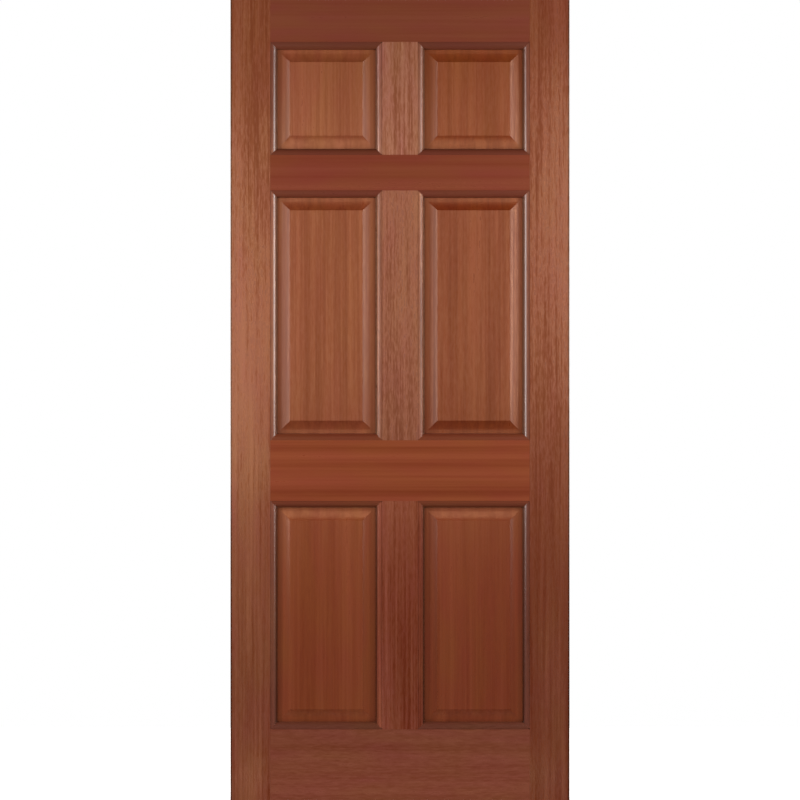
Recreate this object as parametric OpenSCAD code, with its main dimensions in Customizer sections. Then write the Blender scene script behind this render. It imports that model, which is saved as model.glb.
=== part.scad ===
// Six-panel hardwood entrance door leaf, the same on both faces.
// Every panel edge of the stiles, rails and muntins carries a groove and an ovolo moulding.
// The bars are scribed over one another and dowelled, and hold raised panels loose in the grooves.
// The origin is at the middle of the foot of the door, with the front face towards -Y.

/* [Leaf] */
// Width over both stiles
leaf_w = 838; // [760:1:920]
// Height from the foot of the door to its top
leaf_h = 1981; // [1900:1:2140]
// Thickness of the stiles, rails and muntins
leaf_t = 44; // [40:0.5:54]
// Width of the eased arris along the outer edges
arris = 1; // [0.5:0.1:2]

/* [Stiles, rails and muntins] */
// Width of a stile with its moulding
stile_w = 115; // [95:1:130]
// Width of a muntin with both its mouldings
muntin_w = 121; // [90:1:140]
// Height of the top rail with its moulding
top_rail_h = 122; // [90:1:150]
// Height of the frieze rail with both its mouldings
frieze_rail_h = 121; // [112:1:150]
// Height of the lock rail with both its mouldings
lock_rail_h = 183; // [120:1:230]
// Height of the bottom rail with its moulding
bottom_rail_h = 193; // [120:1:240]
// Height of the middle of the lock rail above the foot of the door
lock_rail_mid = 816; // [750:1:1050]
// Height of the top panels between their mouldings
top_panel_h = 246; // [150:1:320]

/* [Moulding and groove] */
// Radius of the ovolo
ovolo_r = 14; // [8:0.5:15]
// Width of the flat ledge between the quirk and the ovolo
ledge_w = 2.5; // [1:0.1:4]
// Depth of the quirk, the small step down from the face
quirk_d = 1.5; // [0.5:0.1:3]
// Width of the panel groove
groove_w = 12; // [8:0.5:14]
// Depth of the panel groove
groove_d = 12; // [8:0.5:14]

/* [Panels] */
// Thickness of a panel at its field
panel_t = 30; // [20:0.5:36]
// Width of the scooped bevel, from the moulding to the field
bevel_w = 32; // [20:0.5:45]
// Width of the flat lip at the foot of the bevel
lip_w = 2; // [1:0.1:5]
// Clearance on each face of the tongue, and under its lower edge
panel_fit = 0.2; // [0.1:0.05:0.5]
// Room left at the sides and the top for the panel to swell
panel_gap = 2.5; // [1:0.1:4]

/* [Dowelled joints] */
// Glue line between a scribed end and the moulding it covers
joint_gap = 0.1; // [0.05:0.05:0.3]
// Diameter of the dowels
dowel_d = 16; // [15:0.5:20]
// Length of the dowels between rails and stiles
rail_dowel_len = 120; // [80:1:150]
// Length of the dowels between muntins and rails
muntin_dowel_len = 80; // [50:1:88]
// Clearance around a dowel in its hole
dowel_fit = 0.1; // [0.05:0.05:0.2]
// Room for glue at each end of a dowel
glue_room = 1; // [0.5:0.1:3]

/* [Hidden] */
$fn = 96;

// Timber colours: stiles and muntins, rails, panels, beech dowels
upright_colour = "#8f573f";
rail_colour = "#753d2c";
panel_colour = "#86503a";
dowel_colour = "#c9a06c";

// Sides of the door, as signs along X
left = -1;
right = 1;

// Width of the moulding, and depth of the edge of a bar that holds both moulding and groove
moulding_w = ovolo_r + ledge_w;
edge_zone = moulding_w + groove_d;
half_t = leaf_t / 2;

// How far a cutter runs past what it cuts, and shapes that are joined run into each other
overrun = 2;

// Half the width between the stiles' mouldings, and the place and width of the panels
sight_x = leaf_w / 2 - stile_w;
panel_x = (sight_x + muntin_w / 2) / 2;
panel_sight_w = sight_x - muntin_w / 2;

// Edges of the rails, from the foot upwards
lock_rail_low = lock_rail_mid - lock_rail_h / 2;
lock_rail_top = lock_rail_mid + lock_rail_h / 2;
top_rail_low = leaf_h - top_rail_h;
frieze_rail_top = top_rail_low - top_panel_h;
frieze_rail_low = frieze_rail_top - frieze_rail_h;

// Rows of panels as the heights of their lower and upper mouldings
bottom_row = [bottom_rail_h, lock_rail_low];
middle_row = [lock_rail_top, frieze_rail_low];
top_row = [frieze_rail_top, top_rail_low];

// Panel sections: the tongue in the groove and the arc of the scooped bevel
tongue_t = groove_w - 2 * panel_fit;
bevel_rise = (panel_t - tongue_t) / 2;
bevel_run = bevel_w - lip_w;
scoop_r = (bevel_run * bevel_run + bevel_rise * bevel_rise) / (2 * bevel_rise);

// Dowels stand on the floors of the grooves, half in each piece
rail_joint_x = sight_x + groove_d;
dowel_chamfer = 1;
hole_d = dowel_d + 2 * dowel_fit;
function spread(low, high, count) = [
    for (i = [0 : count - 1]) low + (i + 0.5) * (high - low) / count
];
top_rail_dowels = spread(top_rail_low + groove_d, leaf_h, 2);
frieze_rail_dowels = spread(frieze_rail_low + groove_d, frieze_rail_top - groove_d, 2);
lock_rail_dowels = spread(lock_rail_low + groove_d, lock_rail_top - groove_d, 3);
bottom_rail_dowels = spread(0, bottom_rail_h - groove_d, 3);
all_rail_dowels = concat(top_rail_dowels, frieze_rail_dowels, lock_rail_dowels, bottom_rail_dowels);
muntin_dowels_x = spread(groove_d - muntin_w / 2, muntin_w / 2 - groove_d, 2);
function muntin_joints(row) = [row[0] - groove_d, row[1] + groove_d];

// Extrudes a section along X, with the section's first axis turned upwards
module along_x(length) {
    rotate([0, -90, 0])
        linear_extrude(length, center = true)
            children();
}

// Moulded edge of a bar, with the sight line at u = 0 and the bar below it.
// From the face inwards come the quirk, the ledge and the ovolo, and the groove in the middle.
// A cutter for a scribed end is the same edge grown by a gap.
module moulded_edge(gap = 0) {
    ovolo_v = half_t - quirk_d - ovolo_r;
    difference() {
        union() {
            translate([-edge_zone, -half_t - gap])
                square([groove_d + gap, leaf_t + 2 * gap]);
            translate([-edge_zone, quirk_d - half_t - gap])
                square([edge_zone - ovolo_r, leaf_t - 2 * quirk_d + 2 * gap]);
            translate([-edge_zone, -ovolo_v])
                square([edge_zone + gap, 2 * ovolo_v]);
            for (face = [-1, 1])
                translate([-ovolo_r, face * ovolo_v])
                    circle(r = ovolo_r + gap);
        }
        translate([gap - groove_d, gap - groove_w / 2])
            square([groove_d + overrun, groove_w - 2 * gap]);
    }
}

// Square edge of a bar with its two arrises eased, at u = 0 with the bar above it
module eased_edge() {
    polygon([
        [0, arris - half_t],
        [arris, -half_t],
        [edge_zone, -half_t],
        [edge_zone, half_t],
        [arris, half_t],
        [0, half_t - arris]
    ]);
}

// Section of a bar from u = 0 to its width, moulded on its inner edge or on both
module bar_section(width, both_moulded) {
    inside = edge_zone - overrun;
    translate([inside, -half_t])
        square([width - 2 * inside, leaf_t]);
    translate([width, 0])
        moulded_edge();
    if (both_moulded)
        mirror([1, 0])
            moulded_edge();
    else
        eased_edge();
}

// Puts what is made for the left side of the door on either side
module on_side(side) {
    if (side == left)
        children();
    else
        mirror([1, 0, 0])
            children();
}

// Holes for the dowels between the rails and the left stile
module rail_dowel_holes(heights) {
    for (z = heights)
        translate([-rail_joint_x, 0, z])
            rotate([0, 90, 0])
                cylinder(h = rail_dowel_len + 2 * glue_room, d = hole_d, center = true);
}

// Holes for the dowels of a muntin's two ends
module muntin_dowel_holes(row) {
    for (x = muntin_dowels_x, z = muntin_joints(row))
        translate([x, 0, z])
            cylinder(h = muntin_dowel_len + 2 * glue_room, d = hole_d, center = true);
}

// Stile: runs the full height, with the ends of its faces eased
module stile(side) {
    ends = [
        [0, arris - half_t],
        [arris, -half_t],
        [leaf_h - arris, -half_t],
        [leaf_h, arris - half_t],
        [leaf_h, half_t - arris],
        [leaf_h - arris, half_t],
        [arris, half_t],
        [0, half_t - arris]
    ];
    color(upright_colour)
        on_side(side)
            difference() {
                intersection() {
                    translate([-leaf_w / 2, 0, 0])
                        linear_extrude(leaf_h)
                            bar_section(stile_w, false);
                    along_x(leaf_w + 2 * overrun)
                        polygon(ends);
                }
                rail_dowel_holes(all_rail_dowels);
            }
}

// Rail: both its ends are scribed over the stiles' mouldings and tongued into their grooves
module rail(heights) {
    color(rail_colour)
        difference() {
            children();
            for (side = [left, right])
                on_side(side) {
                    translate([-sight_x, 0, -overrun])
                        linear_extrude(leaf_h + 2 * overrun)
                            moulded_edge(joint_gap);
                    rail_dowel_holes(heights);
                }
        }
}

// Blank of a rail, up to the quirks of the stiles
module rail_blank(height, both_moulded) {
    along_x(2 * (sight_x + moulding_w))
        bar_section(height, both_moulded);
}

// Top rail: moulded along its lower edge
module top_rail() {
    rail(top_rail_dowels)
        difference() {
            translate([0, 0, leaf_h])
                mirror([0, 0, 1])
                    rail_blank(top_rail_h, false);
            muntin_dowel_holes(top_row);
        }
}

// Frieze rail: under the top panels, moulded along both edges
module frieze_rail() {
    rail(frieze_rail_dowels)
        difference() {
            translate([0, 0, frieze_rail_low])
                rail_blank(frieze_rail_h, true);
            muntin_dowel_holes(top_row);
            muntin_dowel_holes(middle_row);
        }
}

// Lock rail: at handle height, moulded along both edges
module lock_rail() {
    rail(lock_rail_dowels)
        difference() {
            translate([0, 0, lock_rail_low])
                rail_blank(lock_rail_h, true);
            muntin_dowel_holes(middle_row);
            muntin_dowel_holes(bottom_row);
        }
}

// Bottom rail: moulded along its upper edge
module bottom_rail() {
    rail(bottom_rail_dowels)
        difference() {
            rail_blank(bottom_rail_h, false);
            muntin_dowel_holes(bottom_row);
        }
}

// Muntin: stands between two rails, scribed over their mouldings like a rail over the stiles
module muntin(row) {
    blank_h = row[1] - row[0] + 2 * moulding_w;
    color(upright_colour)
        difference() {
            translate([-muntin_w / 2, 0, row[0] - moulding_w])
                linear_extrude(blank_h)
                    bar_section(muntin_w, true);
            translate([0, 0, row[0]])
                along_x(muntin_w + 2 * overrun)
                    moulded_edge(joint_gap);
            translate([0, 0, row[1]])
                mirror([0, 0, 1])
                    along_x(muntin_w + 2 * overrun)
                        moulded_edge(joint_gap);
            muntin_dowel_holes(row);
        }
}

// Section through a panel across an opening that starts at u = 0:
// a tongue in each groove, a lip, the scooped bevels and the raised field
module panel_section(opening, low_gap) {
    waste = lip_w + groove_d + panel_t;
    difference() {
        translate([low_gap - groove_d, -panel_t / 2])
            square([opening + 2 * groove_d - low_gap - panel_gap, panel_t]);
        for (end = [-1, 1], face = [-1, 1])
            translate([opening / 2 + end * (opening / 2 - lip_w), face * tongue_t / 2]) {
                translate([0, face * scoop_r])
                    circle(r = scoop_r);
                translate([end * waste / 2, face * waste / 2])
                    square(waste, center = true);
            }
    }
}

// Panel: one section along its width and one along its height meet in mitred bevels
module panel(row, side) {
    row_h = row[1] - row[0];
    color(panel_colour)
        translate([side * panel_x, 0, row[0]])
            intersection() {
                translate([-panel_sight_w / 2, 0, -groove_d])
                    linear_extrude(row_h + 2 * groove_d)
                        panel_section(panel_sight_w, panel_gap);
                along_x(panel_sight_w + 2 * groove_d)
                    panel_section(row_h, panel_fit);
            }
}

// Dowel with chamfered ends, standing upright about its middle
module dowel(length) {
    rotate_extrude()
        polygon([
            [0, -length / 2],
            [dowel_d / 2 - dowel_chamfer, -length / 2],
            [dowel_d / 2, dowel_chamfer - length / 2],
            [dowel_d / 2, length / 2 - dowel_chamfer],
            [dowel_d / 2 - dowel_chamfer, length / 2],
            [0, length / 2]
        ]);
}

// Dowels between rails and stiles, lying along X
module rail_dowels() {
    color(dowel_colour)
        for (side = [left, right], z = all_rail_dowels)
            translate([side * rail_joint_x, 0, z])
                rotate([0, 90, 0])
                    dowel(rail_dowel_len);
}

// Dowels between muntins and rails, standing upright
module muntin_dowels() {
    color(dowel_colour)
        for (row = [bottom_row, middle_row, top_row], x = muntin_dowels_x, z = muntin_joints(row))
            translate([x, 0, z])
                dowel(muntin_dowel_len);
}

stile(left);  // left_stile
stile(right);  // right_stile
top_rail();
frieze_rail();
lock_rail();
bottom_rail();
muntin(top_row);  // top_muntin
muntin(middle_row);  // middle_muntin
muntin(bottom_row);  // bottom_muntin
panel(top_row, left);  // top_left_panel
panel(top_row, right);  // top_right_panel
panel(middle_row, left);  // middle_left_panel
panel(middle_row, right);  // middle_right_panel
panel(bottom_row, left);  // bottom_left_panel
panel(bottom_row, right);  // bottom_right_panel
rail_dowels();
muntin_dowels();
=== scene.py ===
import math

import bmesh
import bpy
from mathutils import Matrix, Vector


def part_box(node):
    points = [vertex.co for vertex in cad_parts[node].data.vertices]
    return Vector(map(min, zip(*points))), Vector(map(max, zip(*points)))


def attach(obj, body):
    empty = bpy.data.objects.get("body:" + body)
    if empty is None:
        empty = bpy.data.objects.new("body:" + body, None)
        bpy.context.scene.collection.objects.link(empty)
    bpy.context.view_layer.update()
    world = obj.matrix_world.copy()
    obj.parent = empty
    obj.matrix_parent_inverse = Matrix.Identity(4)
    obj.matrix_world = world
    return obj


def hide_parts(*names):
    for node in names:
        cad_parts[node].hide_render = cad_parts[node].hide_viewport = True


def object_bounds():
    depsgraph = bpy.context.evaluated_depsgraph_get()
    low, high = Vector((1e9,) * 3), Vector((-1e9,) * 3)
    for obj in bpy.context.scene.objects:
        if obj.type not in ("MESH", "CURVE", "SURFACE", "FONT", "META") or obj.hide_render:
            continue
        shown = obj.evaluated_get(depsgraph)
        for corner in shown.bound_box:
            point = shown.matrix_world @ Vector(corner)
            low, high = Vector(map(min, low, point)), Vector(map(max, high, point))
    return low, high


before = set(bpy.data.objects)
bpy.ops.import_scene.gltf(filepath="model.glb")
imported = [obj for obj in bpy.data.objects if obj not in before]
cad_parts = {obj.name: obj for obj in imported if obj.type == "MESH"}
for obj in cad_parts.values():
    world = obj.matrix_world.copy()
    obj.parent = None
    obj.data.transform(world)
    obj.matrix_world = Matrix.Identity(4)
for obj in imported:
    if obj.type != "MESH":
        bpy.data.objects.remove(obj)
cad_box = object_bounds()
bpy.ops.object.select_all(action="DESELECT")

# Stiles
# The two full-height uprights, planed from red-brown meranti. A spindle moulder ran a quirked ovolo
# and a panel groove along the inner edge of each, and the outer arrises are sanded round.
MM = 0.001
QUIRK_DEPTH = 1.5 * MM
OVOLO_RADIUS = 14 * MM
LEDGE_WIDTH = 2.5 * MM
MOULDING_WIDTH = OVOLO_RADIUS + LEDGE_WIDTH
GROOVE_WIDTH = 12 * MM
GROOVE_DEPTH = 12 * MM
ARRIS = 1 * MM
OVOLO_STEPS = 16
ARRIS_STEPS = 3
THICKNESS = cad_box[1].y - cad_box[0].y
SMOOTH_BELOW = math.radians(12)
END_GRAIN_BELOW = 0.1


def pick(kind, test):
    """Select only those vertices or faces of the edited mesh whose middle passes the test."""
    bpy.ops.mesh.select_mode(type=kind)
    bpy.ops.mesh.select_all(action="DESELECT")
    mesh = bmesh.from_edit_mesh(bpy.context.edit_object.data)
    for element in mesh.verts if kind == "VERT" else mesh.faces:
        middle = element.co if kind == "VERT" else element.calc_center_median()
        if test(middle):
            element.select_set(True)
    bmesh.update_edit_mesh(bpy.context.edit_object.data)


def near(value, target):
    """True where two lengths are the same to a hundredth of a millimetre."""
    return abs(value - target) < 0.01 * MM


def stick_edge(edge, inwards, groove_width):
    """Run the quirk, ovolo and groove along one edge of the section that is being drawn."""
    face_line = edge + inwards * MOULDING_WIDTH
    ledge = THICKNESS / 2 - QUIRK_DEPTH
    bpy.ops.mesh.select_all(action="SELECT")
    bpy.ops.mesh.bisect(plane_co=(face_line, 0, 0), plane_no=(1, 0, 0))
    for side in (-ledge, ledge):
        pick("FACE", lambda point: (point.x - face_line) * inwards < 0)
        bpy.ops.mesh.bisect(plane_co=(0, side, 0), plane_no=(0, 1, 0))
    pick("FACE", lambda point: (point.x - face_line) * inwards < 0 and abs(point.y) > ledge)
    bpy.ops.mesh.delete(type="FACE")
    pick("VERT", lambda point: near(point.x, edge) and near(abs(point.y), ledge))
    bpy.ops.mesh.bevel(offset=OVOLO_RADIUS, segments=OVOLO_STEPS, affect="VERTICES")
    for side in (-groove_width / 2, groove_width / 2):
        pick("FACE", lambda point: (point.x - face_line) * inwards < 0)
        bpy.ops.mesh.bisect(plane_co=(0, side, 0), plane_no=(0, 1, 0))
    pick("FACE", lambda point: (point.x - face_line) * inwards < 0 and abs(point.y) < groove_width / 2)
    bpy.ops.mesh.bisect(plane_co=(edge + inwards * GROOVE_DEPTH, 0, 0), plane_no=(1, 0, 0))
    pick("FACE", lambda point: (point.x - edge) * inwards < GROOVE_DEPTH and abs(point.y) < groove_width / 2)
    bpy.ops.mesh.delete(type="FACE")


def draw_bar(name, width, length, groove_width, low_moulded, high_moulded):
    """An upright bar from x = 0 to its width: its section is drawn flat and pulled up to its length."""
    bpy.ops.object.select_all(action="DESELECT")
    bpy.ops.mesh.primitive_plane_add(size=1, location=(width / 2, 0, 0))
    bar = bpy.context.object
    bar.name = name
    bar.scale = (width, THICKNESS, 1)
    bpy.ops.object.transform_apply(location=True, rotation=False, scale=True)
    bpy.ops.object.mode_set(mode="EDIT")
    for edge, inwards, moulded in ((0, 1, low_moulded), (width, -1, high_moulded)):
        if moulded:
            stick_edge(edge, inwards, groove_width)
        else:
            pick("VERT", lambda point: near(point.x, edge) and near(abs(point.y), THICKNESS / 2))
            bpy.ops.mesh.bevel(offset=ARRIS, segments=ARRIS_STEPS, affect="VERTICES")
    bpy.ops.mesh.select_mode(type="FACE")
    bpy.ops.mesh.select_all(action="SELECT")
    bpy.ops.mesh.extrude_region_move(TRANSFORM_OT_translate={"value": (0, 0, length)})
    bpy.ops.mesh.select_all(action="SELECT")
    bpy.ops.mesh.normals_make_consistent(inside=False)
    bpy.ops.object.mode_set(mode="OBJECT")
    return bar


def place(piece, location, rotation=(0, 0, 0)):
    """Put a finished piece where it belongs, with its place in its mesh."""
    piece.location = location
    piece.rotation_euler = rotation
    bpy.ops.object.select_all(action="DESELECT")
    piece.select_set(True)
    bpy.context.view_layer.objects.active = piece
    bpy.ops.object.transform_apply(location=True, rotation=True, scale=True)


def copy_piece(piece, name, location, rotation=(0, 0, 0)):
    """A copy of a piece, with a mesh of its own, moved or turned to its place."""
    bpy.ops.object.select_all(action="DESELECT")
    piece.select_set(True)
    bpy.context.view_layer.objects.active = piece
    bpy.ops.object.duplicate()
    copy = bpy.context.object
    copy.name = name
    place(copy, location, rotation)
    return copy


def finish_piece(piece, node, grain, material):
    """Smooth a piece, lay its UV map across the grain, and let it stand for its CAD node."""
    bpy.ops.object.select_all(action="DESELECT")
    piece.select_set(True)
    bpy.context.view_layer.objects.active = piece
    bpy.ops.object.shade_smooth_by_angle(angle=SMOOTH_BELOW)
    while piece.data.uv_layers:
        piece.data.uv_layers.remove(piece.data.uv_layers[0])
    grain_map = piece.data.uv_layers.new(name="grain")
    for face in piece.data.polygons:
        across = grain.cross(face.normal)
        # On end grain every direction lies across, so any one will do.
        if across.length < END_GRAIN_BELOW:
            across = grain.orthogonal()
        across.normalize()
        along = face.normal.cross(across)
        for loop in face.loop_indices:
            corner = piece.data.vertices[piece.data.loops[loop].vertex_index].co
            grain_map.data[loop].uv = (corner.dot(across), corner.dot(along))
    piece.data.materials.clear()
    piece.data.materials.append(material)
    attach(piece, "root")
    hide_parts(node)


def linear(hex_colour):
    """The linear RGBA of an sRGB hex colour."""
    parts = [int(hex_colour[start:start + 2], 16) / 255 for start in (1, 3, 5)]
    return [part / 12.92 if part < 0.04045 else ((part + 0.055) / 1.055) ** 2.4 for part in parts] + [1]


def add_node(tree, kind, settings=None, inputs=None, stops=()):
    """Add one node with its settings and colour stops, and set or link its inputs."""
    node = tree.nodes.new(kind)
    for name, value in (settings or {}).items():
        setattr(node, name, value)
    for number, (position, colour) in enumerate(stops):
        elements = node.color_ramp.elements
        stop = elements[number] if number < len(elements) else elements.new(1)
        stop.position = position
        stop.color = linear(colour)
    for name, value in (inputs or {}).items():
        if isinstance(value, bpy.types.NodeSocket):
            tree.links.new(value, node.inputs[name])
        else:
            node.inputs[name].default_value = value
    return node


UPRIGHT = Vector((0, 0, 1))
LEVEL = Vector((1, 0, 0))
PINK_TINT = "#ffe8ff"
GOLDEN_TINT = "#fffff0"
TINT_PATCH = (40, 160)
STREAK_SHIFT = (1, 1.7, 2.3)
PATCH_SHIFT = (1.3, 1, 0.7)
# A Mix node keeps its colours in these sockets.
MIX_A = 6
MIX_B = 7
MIX_RESULT = 2


def grain_noise(tree, position, grain, across, along, offset, detail):
    """A noise whose patches measure so many millimetres across and along the grain."""
    repeat = [1 / (along * MM) if part else 1 / (across * MM) for part in grain]
    mapped = add_node(tree, "ShaderNodeMapping", inputs={
        "Vector": position, "Scale": repeat, "Location": offset})
    return add_node(tree, "ShaderNodeTexNoise", inputs={
        "Vector": mapped.outputs["Vector"], "Scale": 1, "Detail": detail, "Roughness": 0.6}).outputs["Fac"]


def timber(name, grain, colours, streaks, pores, painted_shades, seed, lacquer, face):
    """Satin-lacquered meranti: red-brown, streaked along the grain, with a sheen that the pores break.

    The seed cuts each board from its own place in the pattern. Streaks and pores are (mm across the
    grain, mm along it, strength). Real pores are about 0.3 mm wide, and these are drawn 3.5 to 4 mm
    wide, so that they show. Painted shades are (axis, stops), where a stop is a distance in mm from the
    middle of the door and a grey, which darkens the colour there as painted shade. Lacquer is how much
    of its own shine shows on the mouldings and on the face, which lies at the depth that is given last."""
    material = bpy.data.materials.new(name)
    material.use_nodes = True
    tree = material.node_tree
    tree.nodes.clear()
    position = add_node(tree, "ShaderNodeTexCoord").outputs["Object"]
    axes = add_node(tree, "ShaderNodeSeparateXYZ", inputs={"Vector": position}).outputs
    distance = {}
    for axis in ("X", "Y", "Z"):
        distance[axis] = add_node(tree, "ShaderNodeMath", {"operation": "ABSOLUTE"}, {
            0: axes[axis]}).outputs[0]
    # The side and head edges of the door are finished as its faces are, and count as deep as a face.
    for axis, edge in (("X", cad_box[1].x), ("Z", cad_box[1].z)):
        on_edge = add_node(tree, "ShaderNodeMapRange", inputs={
            "Value": distance[axis], "From Min": edge - ARRIS, "From Max": edge - ARRIS / 2,
            "To Min": 0, "To Max": face})
        distance["Y"] = add_node(tree, "ShaderNodeMath", {"operation": "MAXIMUM"}, {
            0: distance["Y"], 1: on_edge.outputs["Result"]}).outputs[0]

    # Streaks of darker and lighter wood set the tone. The pores cross them in the gloss.
    offset = [seed * shift for shift in STREAK_SHIFT]
    tone = 0.5 - 0.5 * sum(strength for across, along, strength in streaks)
    for across, along, strength in streaks:
        noise = grain_noise(tree, position, grain, across, along, offset, 2)
        tone = add_node(tree, "ShaderNodeMath", {"operation": "MULTIPLY_ADD"}, {
            0: noise, 1: strength, 2: tone}).outputs[0]
    pore_noise = grain_noise(tree, position, grain, pores[0], pores[1], offset, 2)
    pore_depth = add_node(tree, "ShaderNodeMath", {"operation": "MULTIPLY_ADD"}, {
        0: pore_noise, 1: pores[2], 2: -0.5 * pores[2]}).outputs[0]
    figure = add_node(tree, "ShaderNodeMath", {"operation": "ADD"}, {0: tone, 1: pore_depth}).outputs[0]

    # The wood changes slowly between pinker and more golden patches.
    patch_offset = [seed * shift for shift in PATCH_SHIFT]
    patches = grain_noise(tree, position, grain, *TINT_PATCH, patch_offset, 1)
    wood = add_node(tree, "ShaderNodeValToRGB", None, {"Fac": tone},
                    ((0.25, colours[0]), (0.75, colours[1])))
    tint = add_node(tree, "ShaderNodeValToRGB", None, {"Fac": patches},
                    ((0.25, PINK_TINT), (0.75, GOLDEN_TINT)))
    colour = add_node(tree, "ShaderNodeMix", {"data_type": "RGBA", "blend_type": "MULTIPLY"}, {
        "Factor": 1.0, MIX_A: wood.outputs["Color"], MIX_B: tint.outputs["Color"]}).outputs[MIX_RESULT]

    # Painted shade: greys darken the mouldings' lower parts and a thin line inside the outer arrises.
    for axis, stops in painted_shades:
        reach = stops[-1][0]
        along_stops = add_node(tree, "ShaderNodeMapRange", inputs={
            "Value": distance[axis], "From Min": 0, "From Max": reach * MM})
        painted_shade = add_node(tree, "ShaderNodeValToRGB", None, {"Fac": along_stops.outputs["Result"]},
                         [(stop / reach, grey) for stop, grey in stops])
        colour = add_node(tree, "ShaderNodeMix", {"data_type": "RGBA", "blend_type": "MULTIPLY"}, {
            "Factor": 1.0, MIX_A: colour, MIX_B: painted_shade.outputs["Color"]}).outputs[MIX_RESULT]

    # The fibres throw a warm sheen across the grain, smoother in lighter streaks than in pores.
    # The clear lacquer adds a whiter shine, whole on the mouldings and broken by pores on the face.
    sheen = add_node(tree, "ShaderNodeMapRange", inputs={
        "Value": figure, "From Min": 0.35, "From Max": 0.65, "To Min": 0.8, "To Max": 0.24})
    broken = add_node(tree, "ShaderNodeMapRange", inputs={
        "Value": figure, "From Min": 0.3, "From Max": 0.7, "To Min": 0, "To Max": 2 * lacquer[1]})
    shine = add_node(tree, "ShaderNodeMapRange", inputs={
        "Value": distance["Y"], "From Min": face - 1 * MM, "From Max": face,
        "To Min": lacquer[0], "To Max": broken.outputs["Result"]})
    relief = add_node(tree, "ShaderNodeBump", inputs={
        "Height": pore_noise, "Strength": 0.3, "Distance": 0.2 * MM})
    across_grain = add_node(tree, "ShaderNodeTangent", {"direction_type": "UV_MAP", "uv_map": "grain"})
    surface = add_node(tree, "ShaderNodeBsdfPrincipled", inputs={
        "Base Color": colour,
        "Roughness": sheen.outputs["Result"],
        "IOR": 1.55,
        "Specular IOR Level": 1.0,
        "Specular Tint": (1, 0.5, 0.26, 1),
        "Anisotropic": 1.0,
        "Tangent": across_grain.outputs["Tangent"],
        "Normal": relief.outputs["Normal"],
        "Coat Weight": shine.outputs["Result"],
        "Coat Roughness": 0.3,
        "Coat IOR": 1.9,
    })
    add_node(tree, "ShaderNodeOutputMaterial", inputs={"Surface": surface.outputs["BSDF"]})
    return material


UPRIGHT_STREAKS = ((120, 1600, 0.9), (16, 500, 0.2), (6, 400, 0.7), (3.5, 22, 0.45))
UPRIGHT_PORES = (3.5, 22, 0.6)
STILE_LACQUER = (1.0, 0.24)
# Painted shade: these greys darken the colour of the lower part of each moulding, beside its panel.
UNSHADED = "#ffffff"
MOULDING_SHADOW_GREY = "#949494"
ARRIS_SHADOW_GREY = "#595959"
MOULDING_PAINTED_SHADE = ("Y", ((14, MOULDING_SHADOW_GREY), (18, UNSHADED)))
# Painted shade: a thin dark line just inside each outer arris, for the shade on the rounded edge.
half_width = cad_box[1].x / MM
ARRIS_PAINTED_SHADE = ("X", (
    (half_width - 4, UNSHADED), (half_width - 2.5, ARRIS_SHADOW_GREY),
    (half_width - 0.6, ARRIS_SHADOW_GREY), (half_width - 0.1, UNSHADED)))
stile_colours = {
    "left_stile": ("#64280f", "#8f5335"),
    "right_stile": ("#61220c", "#86492d"),
}
stile_seeds = {"left_stile": 8.1, "right_stile": 344.1}
low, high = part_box("left_stile")
left_stile = draw_bar("left_stile_timber", high.x - low.x, high.z - low.z, GROOVE_WIDTH, False, True)
place(left_stile, (low.x, 0, low.z))
right_stile = copy_piece(left_stile, "right_stile_timber", (0, 0, 0), (0, 0, math.radians(180)))
stiles = {"left_stile": left_stile, "right_stile": right_stile}
for node, stile in stiles.items():
    material = timber("meranti_" + node, UPRIGHT, stile_colours[node], UPRIGHT_STREAKS, UPRIGHT_PORES,
                      (MOULDING_PAINTED_SHADE, ARRIS_PAINTED_SHADE), stile_seeds[node], STILE_LACQUER, THICKNESS / 2)
    finish_piece(stile, node, UPRIGHT, material)

# Rails
# The four cross pieces, cut from redder boards with the grain lying level. Their ends are scribed
# over the stiles' mouldings, so the mouldings meet in a mitre, and dowelled.
GLUE_LINE = 0.1 * MM
# A groove is a glue line wider than the one that it runs into, which keeps their walls apart.
rail_groove = GROOVE_WIDTH + GLUE_LINE


def scribe(piece, cutters):
    """Cut the ends of a bar to the shape of the bars that it meets."""
    bpy.context.view_layer.objects.active = piece
    for cutter in cutters:
        cut = piece.modifiers.new("scribe", "BOOLEAN")
        cut.operation = "DIFFERENCE"
        cut.solver = "MANIFOLD"
        cut.object = cutter
        bpy.ops.object.modifier_apply(modifier=cut.name)


rails = {}
rail_length = 2 * (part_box("right_stile")[0].x + MOULDING_WIDTH - GLUE_LINE)
rail_colours = {
    "top_rail": ("#662b16", "#7c4532"),
    "frieze_rail": ("#682714", "#834631"),
    "lock_rail": ("#621d02", "#9b5436"),
    "bottom_rail": ("#682d19", "#884f3b"),
}
RAIL_STREAKS = ((26, 2500, 0.5), (9, 900, 0.25))
SHORT_STREAKS = (4, 22, 0.5)
RAIL_PORES = (4, 25, 0.3)
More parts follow.
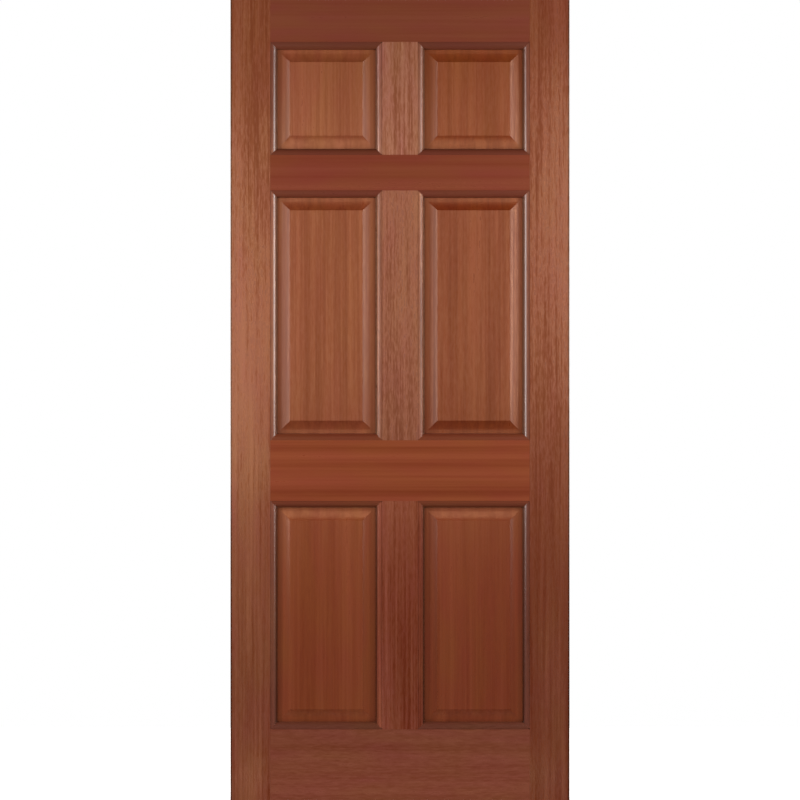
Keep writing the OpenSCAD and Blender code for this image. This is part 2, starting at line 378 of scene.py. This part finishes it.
# Painted shade: this grey darkens the rails' mouldings below their quirks.
RAIL_MOULDING_SHADOW_GREY = "#d8d8d8"
RAIL_MOULDING_PAINTED_SHADE = ("Y", ((20.4, RAIL_MOULDING_SHADOW_GREY), (21.4, UNSHADED)))
RAIL_LACQUER = (0.2, 0.03)
RAIL_SEED = 11.3
SEED_STEP = 7
for number, (node, colours) in enumerate(rail_colours.items()):
    low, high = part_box(node)
    rail = draw_bar(node + "_timber", high.z - low.z, rail_length, rail_groove,
                    node != "bottom_rail", node != "top_rail")
    place(rail, (rail_length / 2, 0, low.z), (0, math.radians(-90), 0))
    scribe(rail, stiles.values())
    # The bottom rail is cut from a board with short flecks as well.
    streaks = RAIL_STREAKS + (SHORT_STREAKS,) if node == "bottom_rail" else RAIL_STREAKS
    material = timber("meranti_" + node, LEVEL, colours, streaks, RAIL_PORES,
                      (RAIL_MOULDING_PAINTED_SHADE,), RAIL_SEED + SEED_STEP * number, RAIL_LACQUER, THICKNESS / 2)
    finish_piece(rail, node, LEVEL, material)
    rails[node] = rail

# Muntins
# The three short centre uprights, from the same boards as the stiles, scribed over the rails
# above and below them.
MUNTIN_FACE_SHINE = 0.2
MUNTIN_SEED = 35.7
muntin_groove = GROOVE_WIDTH + 2 * GLUE_LINE
# Each has its rails below and above, the shine of the lacquer on its mouldings, and its colours.
muntins = (
    # The top muntin's colours are lighter, painted light for the sheen at the head of the door.
    ("top_muntin", "frieze_rail", "top_rail", 0.45, ("#6d3721", "#a36e58")),
    ("middle_muntin", "lock_rail", "frieze_rail", 0.3, ("#5f2714", "#8e573f")),
    ("bottom_muntin", "bottom_rail", "lock_rail", 0.1, ("#66230d", "#95523b")),
)
for number, (node, below, above, moulding_shine, colours) in enumerate(muntins):
    low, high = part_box(node)
    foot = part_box(below)[1].z - MOULDING_WIDTH + GLUE_LINE
    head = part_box(above)[0].z + MOULDING_WIDTH - GLUE_LINE
    muntin = draw_bar(node + "_timber", high.x - low.x, head - foot, muntin_groove, True, True)
    place(muntin, (low.x, 0, foot))
    scribe(muntin, (rails[below], rails[above]))
    lacquer = (moulding_shine, MUNTIN_FACE_SHINE)
    material = timber("meranti_" + node, UPRIGHT, colours, UPRIGHT_STREAKS, UPRIGHT_PORES,
                      (MOULDING_PAINTED_SHADE,), MUNTIN_SEED + SEED_STEP * number, lacquer, THICKNESS / 2)
    finish_piece(muntin, node, UPRIGHT, material)

# Dowels
# Turned pegs of bare beech, glued into bored holes across every joint. They are hidden in the
# finished door, so the solids of the frame stay as they are and only take their finish here.
BEECH_DARK = "#b88f5c"
BEECH_LIGHT = "#d0aa78"
RAY_FLECK = (0.8, 5)


def beech(name, grain):
    """Bare beech: pale and even, with short brown ray flecks along the grain and no shine."""
    material = bpy.data.materials.new(name)
    material.use_nodes = True
    tree = material.node_tree
    tree.nodes.clear()
    position = add_node(tree, "ShaderNodeTexCoord").outputs["Object"]
    flecks = grain_noise(tree, position, grain, *RAY_FLECK, (0, 0, 0), 2)
    wood = add_node(tree, "ShaderNodeValToRGB", None, {"Fac": flecks},
                    ((0.35, BEECH_DARK), (0.6, BEECH_LIGHT)))
    roughness = add_node(tree, "ShaderNodeMapRange", inputs={
        "Value": flecks, "From Min": 0.3, "From Max": 0.7, "To Min": 0.8, "To Max": 0.65})
    relief = add_node(tree, "ShaderNodeBump", inputs={
        "Height": flecks, "Strength": 0.3, "Distance": 0.05 * MM})
    surface = add_node(tree, "ShaderNodeBsdfPrincipled", inputs={
        "Base Color": wood.outputs["Color"],
        "Roughness": roughness.outputs["Result"],
        "IOR": 1.5,
        "Normal": relief.outputs["Normal"],
    })
    add_node(tree, "ShaderNodeOutputMaterial", inputs={"Surface": surface.outputs["BSDF"]})
    return material


for node, grain in (("rail_dowels", LEVEL), ("muntin_dowels", UPRIGHT)):
    for slot in bpy.data.objects[node].material_slots:
        slot.material = beech("beech_" + node, grain)

# Panels
# Six raised and fielded panels, each glued up from a few upright staves. A panel raiser scooped
# a hollow bevel round both faces, and the tongue that it left lies loose in the grooves.
PANEL_FIT = 0.2 * MM
FIELD_THICKNESS = 30 * MM
BEVEL_WIDTH = 32 * MM
LIP_WIDTH = 2 * MM
SCOOP_STEPS = 10
tongue = GROOVE_WIDTH - 2 * PANEL_FIT
scoop_rise = (FIELD_THICKNESS - tongue) / 2
scoop_run = BEVEL_WIDTH - LIP_WIDTH
scoop_radius = (scoop_run ** 2 + scoop_rise ** 2) / (2 * scoop_rise)
scoop_angle = math.asin(scoop_run / scoop_radius)
PANEL_STREAKS = ((30, 3000, 0.35), (9, 700, 0.25), (5, 300, 0.2))
PANEL_PORES = (4, 22, 0.4)
PANEL_LACQUER = (0.17, 0.18)
PANEL_SEED = 58.9
SEED_PER_METRE = 10
panel_colours = {
    # The top row's colours are lighter than the middle row's, painted light for the sheen at the head of the
    # door.
    "top_left_panel": ("#5e2005", "#965634"),
    "top_right_panel": ("#571701", "#8a471e"),
    "middle_left_panel": ("#591802", "#904d29"),
    "middle_right_panel": ("#500e01", "#853e17"),
    "bottom_left_panel": ("#652103", "#95502c"),
    "bottom_right_panel": ("#611c04", "#914b2a"),
}


def raise_panel(name, low, high, sight_low, sight_high):
    """A board in its grooves, with the bevel scooped out of both faces ring by ring up to the field.

    The sight corners, as (x, z), are where the board comes out of its grooves."""
    bpy.ops.object.select_all(action="DESELECT")
    bpy.ops.mesh.primitive_cube_add(size=1, location=(low + high) / 2)
    panel = bpy.context.object
    panel.name = name
    panel.scale = (high.x - low.x, tongue, high.z - low.z)
    bpy.ops.object.transform_apply(location=True, rotation=False, scale=True)
    bpy.ops.object.mode_set(mode="EDIT")
    for direction, lines in (
        ((1, 0, 0), (sight_low[0] + LIP_WIDTH, sight_high[0] - LIP_WIDTH)),
        ((0, 0, 1), (sight_low[1] + LIP_WIDTH, sight_high[1] - LIP_WIDTH)),
    ):
        for line in lines:
            bpy.ops.mesh.select_all(action="SELECT")
            bpy.ops.mesh.bisect(plane_co=[line * part for part in direction], plane_no=direction)
    middle = (low + high) / 2
    pick("FACE", lambda point: near(abs(point.y), tongue / 2)
         and abs(point.x - middle.x) < scoop_run and abs(point.z - middle.z) < scoop_run)
    for step in range(SCOOP_STEPS):
        start = scoop_angle * step / SCOOP_STEPS
        end = scoop_angle * (step + 1) / SCOOP_STEPS
        bpy.ops.mesh.inset(
            thickness=scoop_radius * (math.sin(end) - math.sin(start)),
            depth=scoop_radius * (math.cos(start) - math.cos(end)))
    bpy.ops.object.mode_set(mode="OBJECT")
    return panel


for row, below, above in (
    ("top", "frieze_rail", "top_rail"),
    ("middle", "lock_rail", "frieze_rail"),
    ("bottom", "bottom_rail", "lock_rail"),
):
    low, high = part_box(row + "_left_panel")
    sight_low = (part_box("left_stile")[1].x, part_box(below)[1].z)
    sight_high = (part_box(row + "_muntin")[0].x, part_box(above)[0].z)
    left_panel = raise_panel(row + "_left_panel_timber", low, high, sight_low, sight_high)
    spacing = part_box(row + "_right_panel")[0].x - low.x
    right_panel = copy_piece(left_panel, row + "_right_panel_timber", (spacing, 0, 0))
    for side, panel in (("left", left_panel), ("right", right_panel)):
        node = row + "_" + side + "_panel"
        material = timber("meranti_" + node, UPRIGHT, panel_colours[node], PANEL_STREAKS, PANEL_PORES,
                          (), PANEL_SEED + SEED_PER_METRE * low.z, PANEL_LACQUER, FIELD_THICKNESS / 2)
        finish_piece(panel, node, UPRIGHT, material)

# Floor
# A plain sheet of white paper under the foot of the door. It looks white, and keeps a soft shadow.
# It starts at the front face, so that its edge isn't mirrored in the lacquer there.
FLOOR_WIDTH = 3
FLOOR_DEPTH = 1
PAPER_WHITE = "#d6d4d0"
PAPER_GLOW = 0.75
bpy.ops.object.select_all(action="DESELECT")
bpy.ops.mesh.primitive_plane_add(size=1, location=(0, cad_box[0].y + FLOOR_DEPTH / 2, cad_box[0].z))
floor = bpy.context.object
floor.name = "studio_floor"
floor.scale = (FLOOR_WIDTH, FLOOR_DEPTH, 1)
bpy.ops.object.transform_apply(location=True, rotation=False, scale=True)
paper = bpy.data.materials.new("studio_paper")
paper.use_nodes = True
tree = paper.node_tree
tree.nodes.clear()
rays = add_node(tree, "ShaderNodeLightPath")
seen = add_node(tree, "ShaderNodeMath", {"operation": "MAXIMUM"}, {
    0: rays.outputs["Is Camera Ray"], 1: rays.outputs["Is Glossy Ray"]})
seen = add_node(tree, "ShaderNodeMath", {"operation": "MAXIMUM"}, {
    0: seen.outputs[0], 1: rays.outputs["Is Transmission Ray"]})
lift = add_node(tree, "ShaderNodeMath", {"operation": "MULTIPLY"}, {0: seen.outputs[0], 1: PAPER_GLOW})
matt = add_node(tree, "ShaderNodeBsdfDiffuse", inputs={"Color": linear(PAPER_WHITE)})
glow = add_node(tree, "ShaderNodeEmission", inputs={"Strength": lift.outputs[0]})
both = add_node(tree, "ShaderNodeAddShader", inputs={0: matt.outputs[0], 1: glow.outputs[0]})
add_node(tree, "ShaderNodeOutputMaterial", inputs={"Surface": both.outputs[0]})
floor.data.materials.append(paper)

# Light
# Each face has two wide soft boxes half-way round to its sides, two tall narrow ones that draw the bright
# lines on its mouldings, and a low strip that lifts its foot as a pale floor would. A strip lights the top
# edge. The dim studio looks white to the camera, and its back wall does so in glossy and clear things.
BACK_WALL_EDGE = (0.8, 0.9)
LIGHT_BELOW = 0.8
LIGHT_ABOVE = 0.2
DARKEST_WALL = 0.02
scene = bpy.context.scene
world = bpy.data.worlds.new("studio")
scene.world = world
world.use_nodes = True
tree = world.node_tree
tree.nodes.clear()
rays = add_node(tree, "ShaderNodeLightPath")
direction = add_node(tree, "ShaderNodeTexCoord").outputs["Generated"]
backwards = add_node(tree, "ShaderNodeSeparateXYZ", inputs={"Vector": direction}).outputs["Y"]
behind = add_node(tree, "ShaderNodeMapRange", inputs={
    "Value": backwards, "From Min": BACK_WALL_EDGE[0], "From Max": BACK_WALL_EDGE[1]})
clear = add_node(tree, "ShaderNodeMath", {"operation": "MAXIMUM"}, {
    0: rays.outputs["Is Glossy Ray"], 1: rays.outputs["Is Transmission Ray"]})
shown = add_node(tree, "ShaderNodeMath", {"operation": "MULTIPLY"}, {
    0: clear.outputs[0], 1: behind.outputs["Result"]})
white = add_node(tree, "ShaderNodeMath", {"operation": "MAXIMUM"}, {
    0: rays.outputs["Is Camera Ray"], 1: shown.outputs[0]})
upwards = add_node(tree, "ShaderNodeSeparateXYZ", inputs={"Vector": direction}).outputs["Z"]
walls = add_node(tree, "ShaderNodeMapRange", inputs={
    "Value": upwards, "From Min": -1, "From Max": 1, "To Min": LIGHT_BELOW, "To Max": LIGHT_ABOVE})
soft = add_node(tree, "ShaderNodeMath", {"operation": "MULTIPLY"}, {
    0: rays.outputs["Is Diffuse Ray"], 1: walls.outputs["Result"]})
soft = add_node(tree, "ShaderNodeMath", {"operation": "MAXIMUM"}, {0: soft.outputs[0], 1: DARKEST_WALL})
level = add_node(tree, "ShaderNodeMath", {"operation": "MAXIMUM"}, {
    0: white.outputs[0], 1: soft.outputs[0]})
sky = add_node(tree, "ShaderNodeBackground", inputs={
    "Color": (1, 1, 1, 1), "Strength": level.outputs[0]})
add_node(tree, "ShaderNodeOutputWorld", inputs={"Surface": sky.outputs["Background"]})


def soft_box(name, location, aim, width, height, watts):
    """A soft box at a place, turned to the point that it lights."""
    data = bpy.data.lights.new(name, "AREA")
    data.shape = "RECTANGLE"
    data.size = width
    data.size_y = height
    data.energy = watts
    light = bpy.data.objects.new(name, data)
    scene.collection.objects.link(light)
    light.location = location
    light.rotation_euler = (Vector(aim) - Vector(location)).to_track_quat("-Z", "Y").to_euler()
    return light


for face in (-1, 1):
    soft_box("left_box", (-1.1, face * 1.1, 1.3), (0, 0, 1.3), width=1.0, height=1.2, watts=10)
    soft_box("right_box", (1.1, face * 1.1, 1.5), (0, 0, 1.5), width=1.0, height=1.1, watts=11)
    soft_box("left_rim", (-1.8, face * 0.9, 1.5), (0, 0, 1.5), width=0.35, height=2.0, watts=14)
    soft_box("right_rim", (1.8, face * 0.9, 1.5), (0, 0, 1.5), width=0.35, height=2.0, watts=14)
    foot_strip = soft_box("foot_strip", (0, face * 0.17, 0.03), (0, 0, 0.03),
                          width=0.84, height=0.04, watts=0.2)
    foot_strip.visible_glossy = False
top_edge = cad_box[1].z
soft_box("head_strip", (0, 0, top_edge + 0.3), (0, 0, top_edge), width=1.2, height=0.04, watts=1.5)

# Camera
# It looks straight on at the middle of the front face, as the photo does. The height of the door fills
# the frame, and is cut by less than a pixel at the head and the foot.
CAMERA_DISTANCE = 4.5
SENSOR_WIDTH = 36
FRAME_FILL = 1.002
door_height = cad_box[1].z - cad_box[0].z
camera_data = bpy.data.cameras.new("camera")
camera_data.sensor_width = SENSOR_WIDTH
camera_data.lens = FRAME_FILL * SENSOR_WIDTH * CAMERA_DISTANCE / door_height
camera = bpy.data.objects.new("camera", camera_data)
camera.location = (0, cad_box[0].y - CAMERA_DISTANCE, door_height / 2)
camera.rotation_euler = (math.radians(90), 0, 0)
scene.collection.objects.link(camera)
scene.camera = camera
scene.view_settings.view_transform = "Standard"
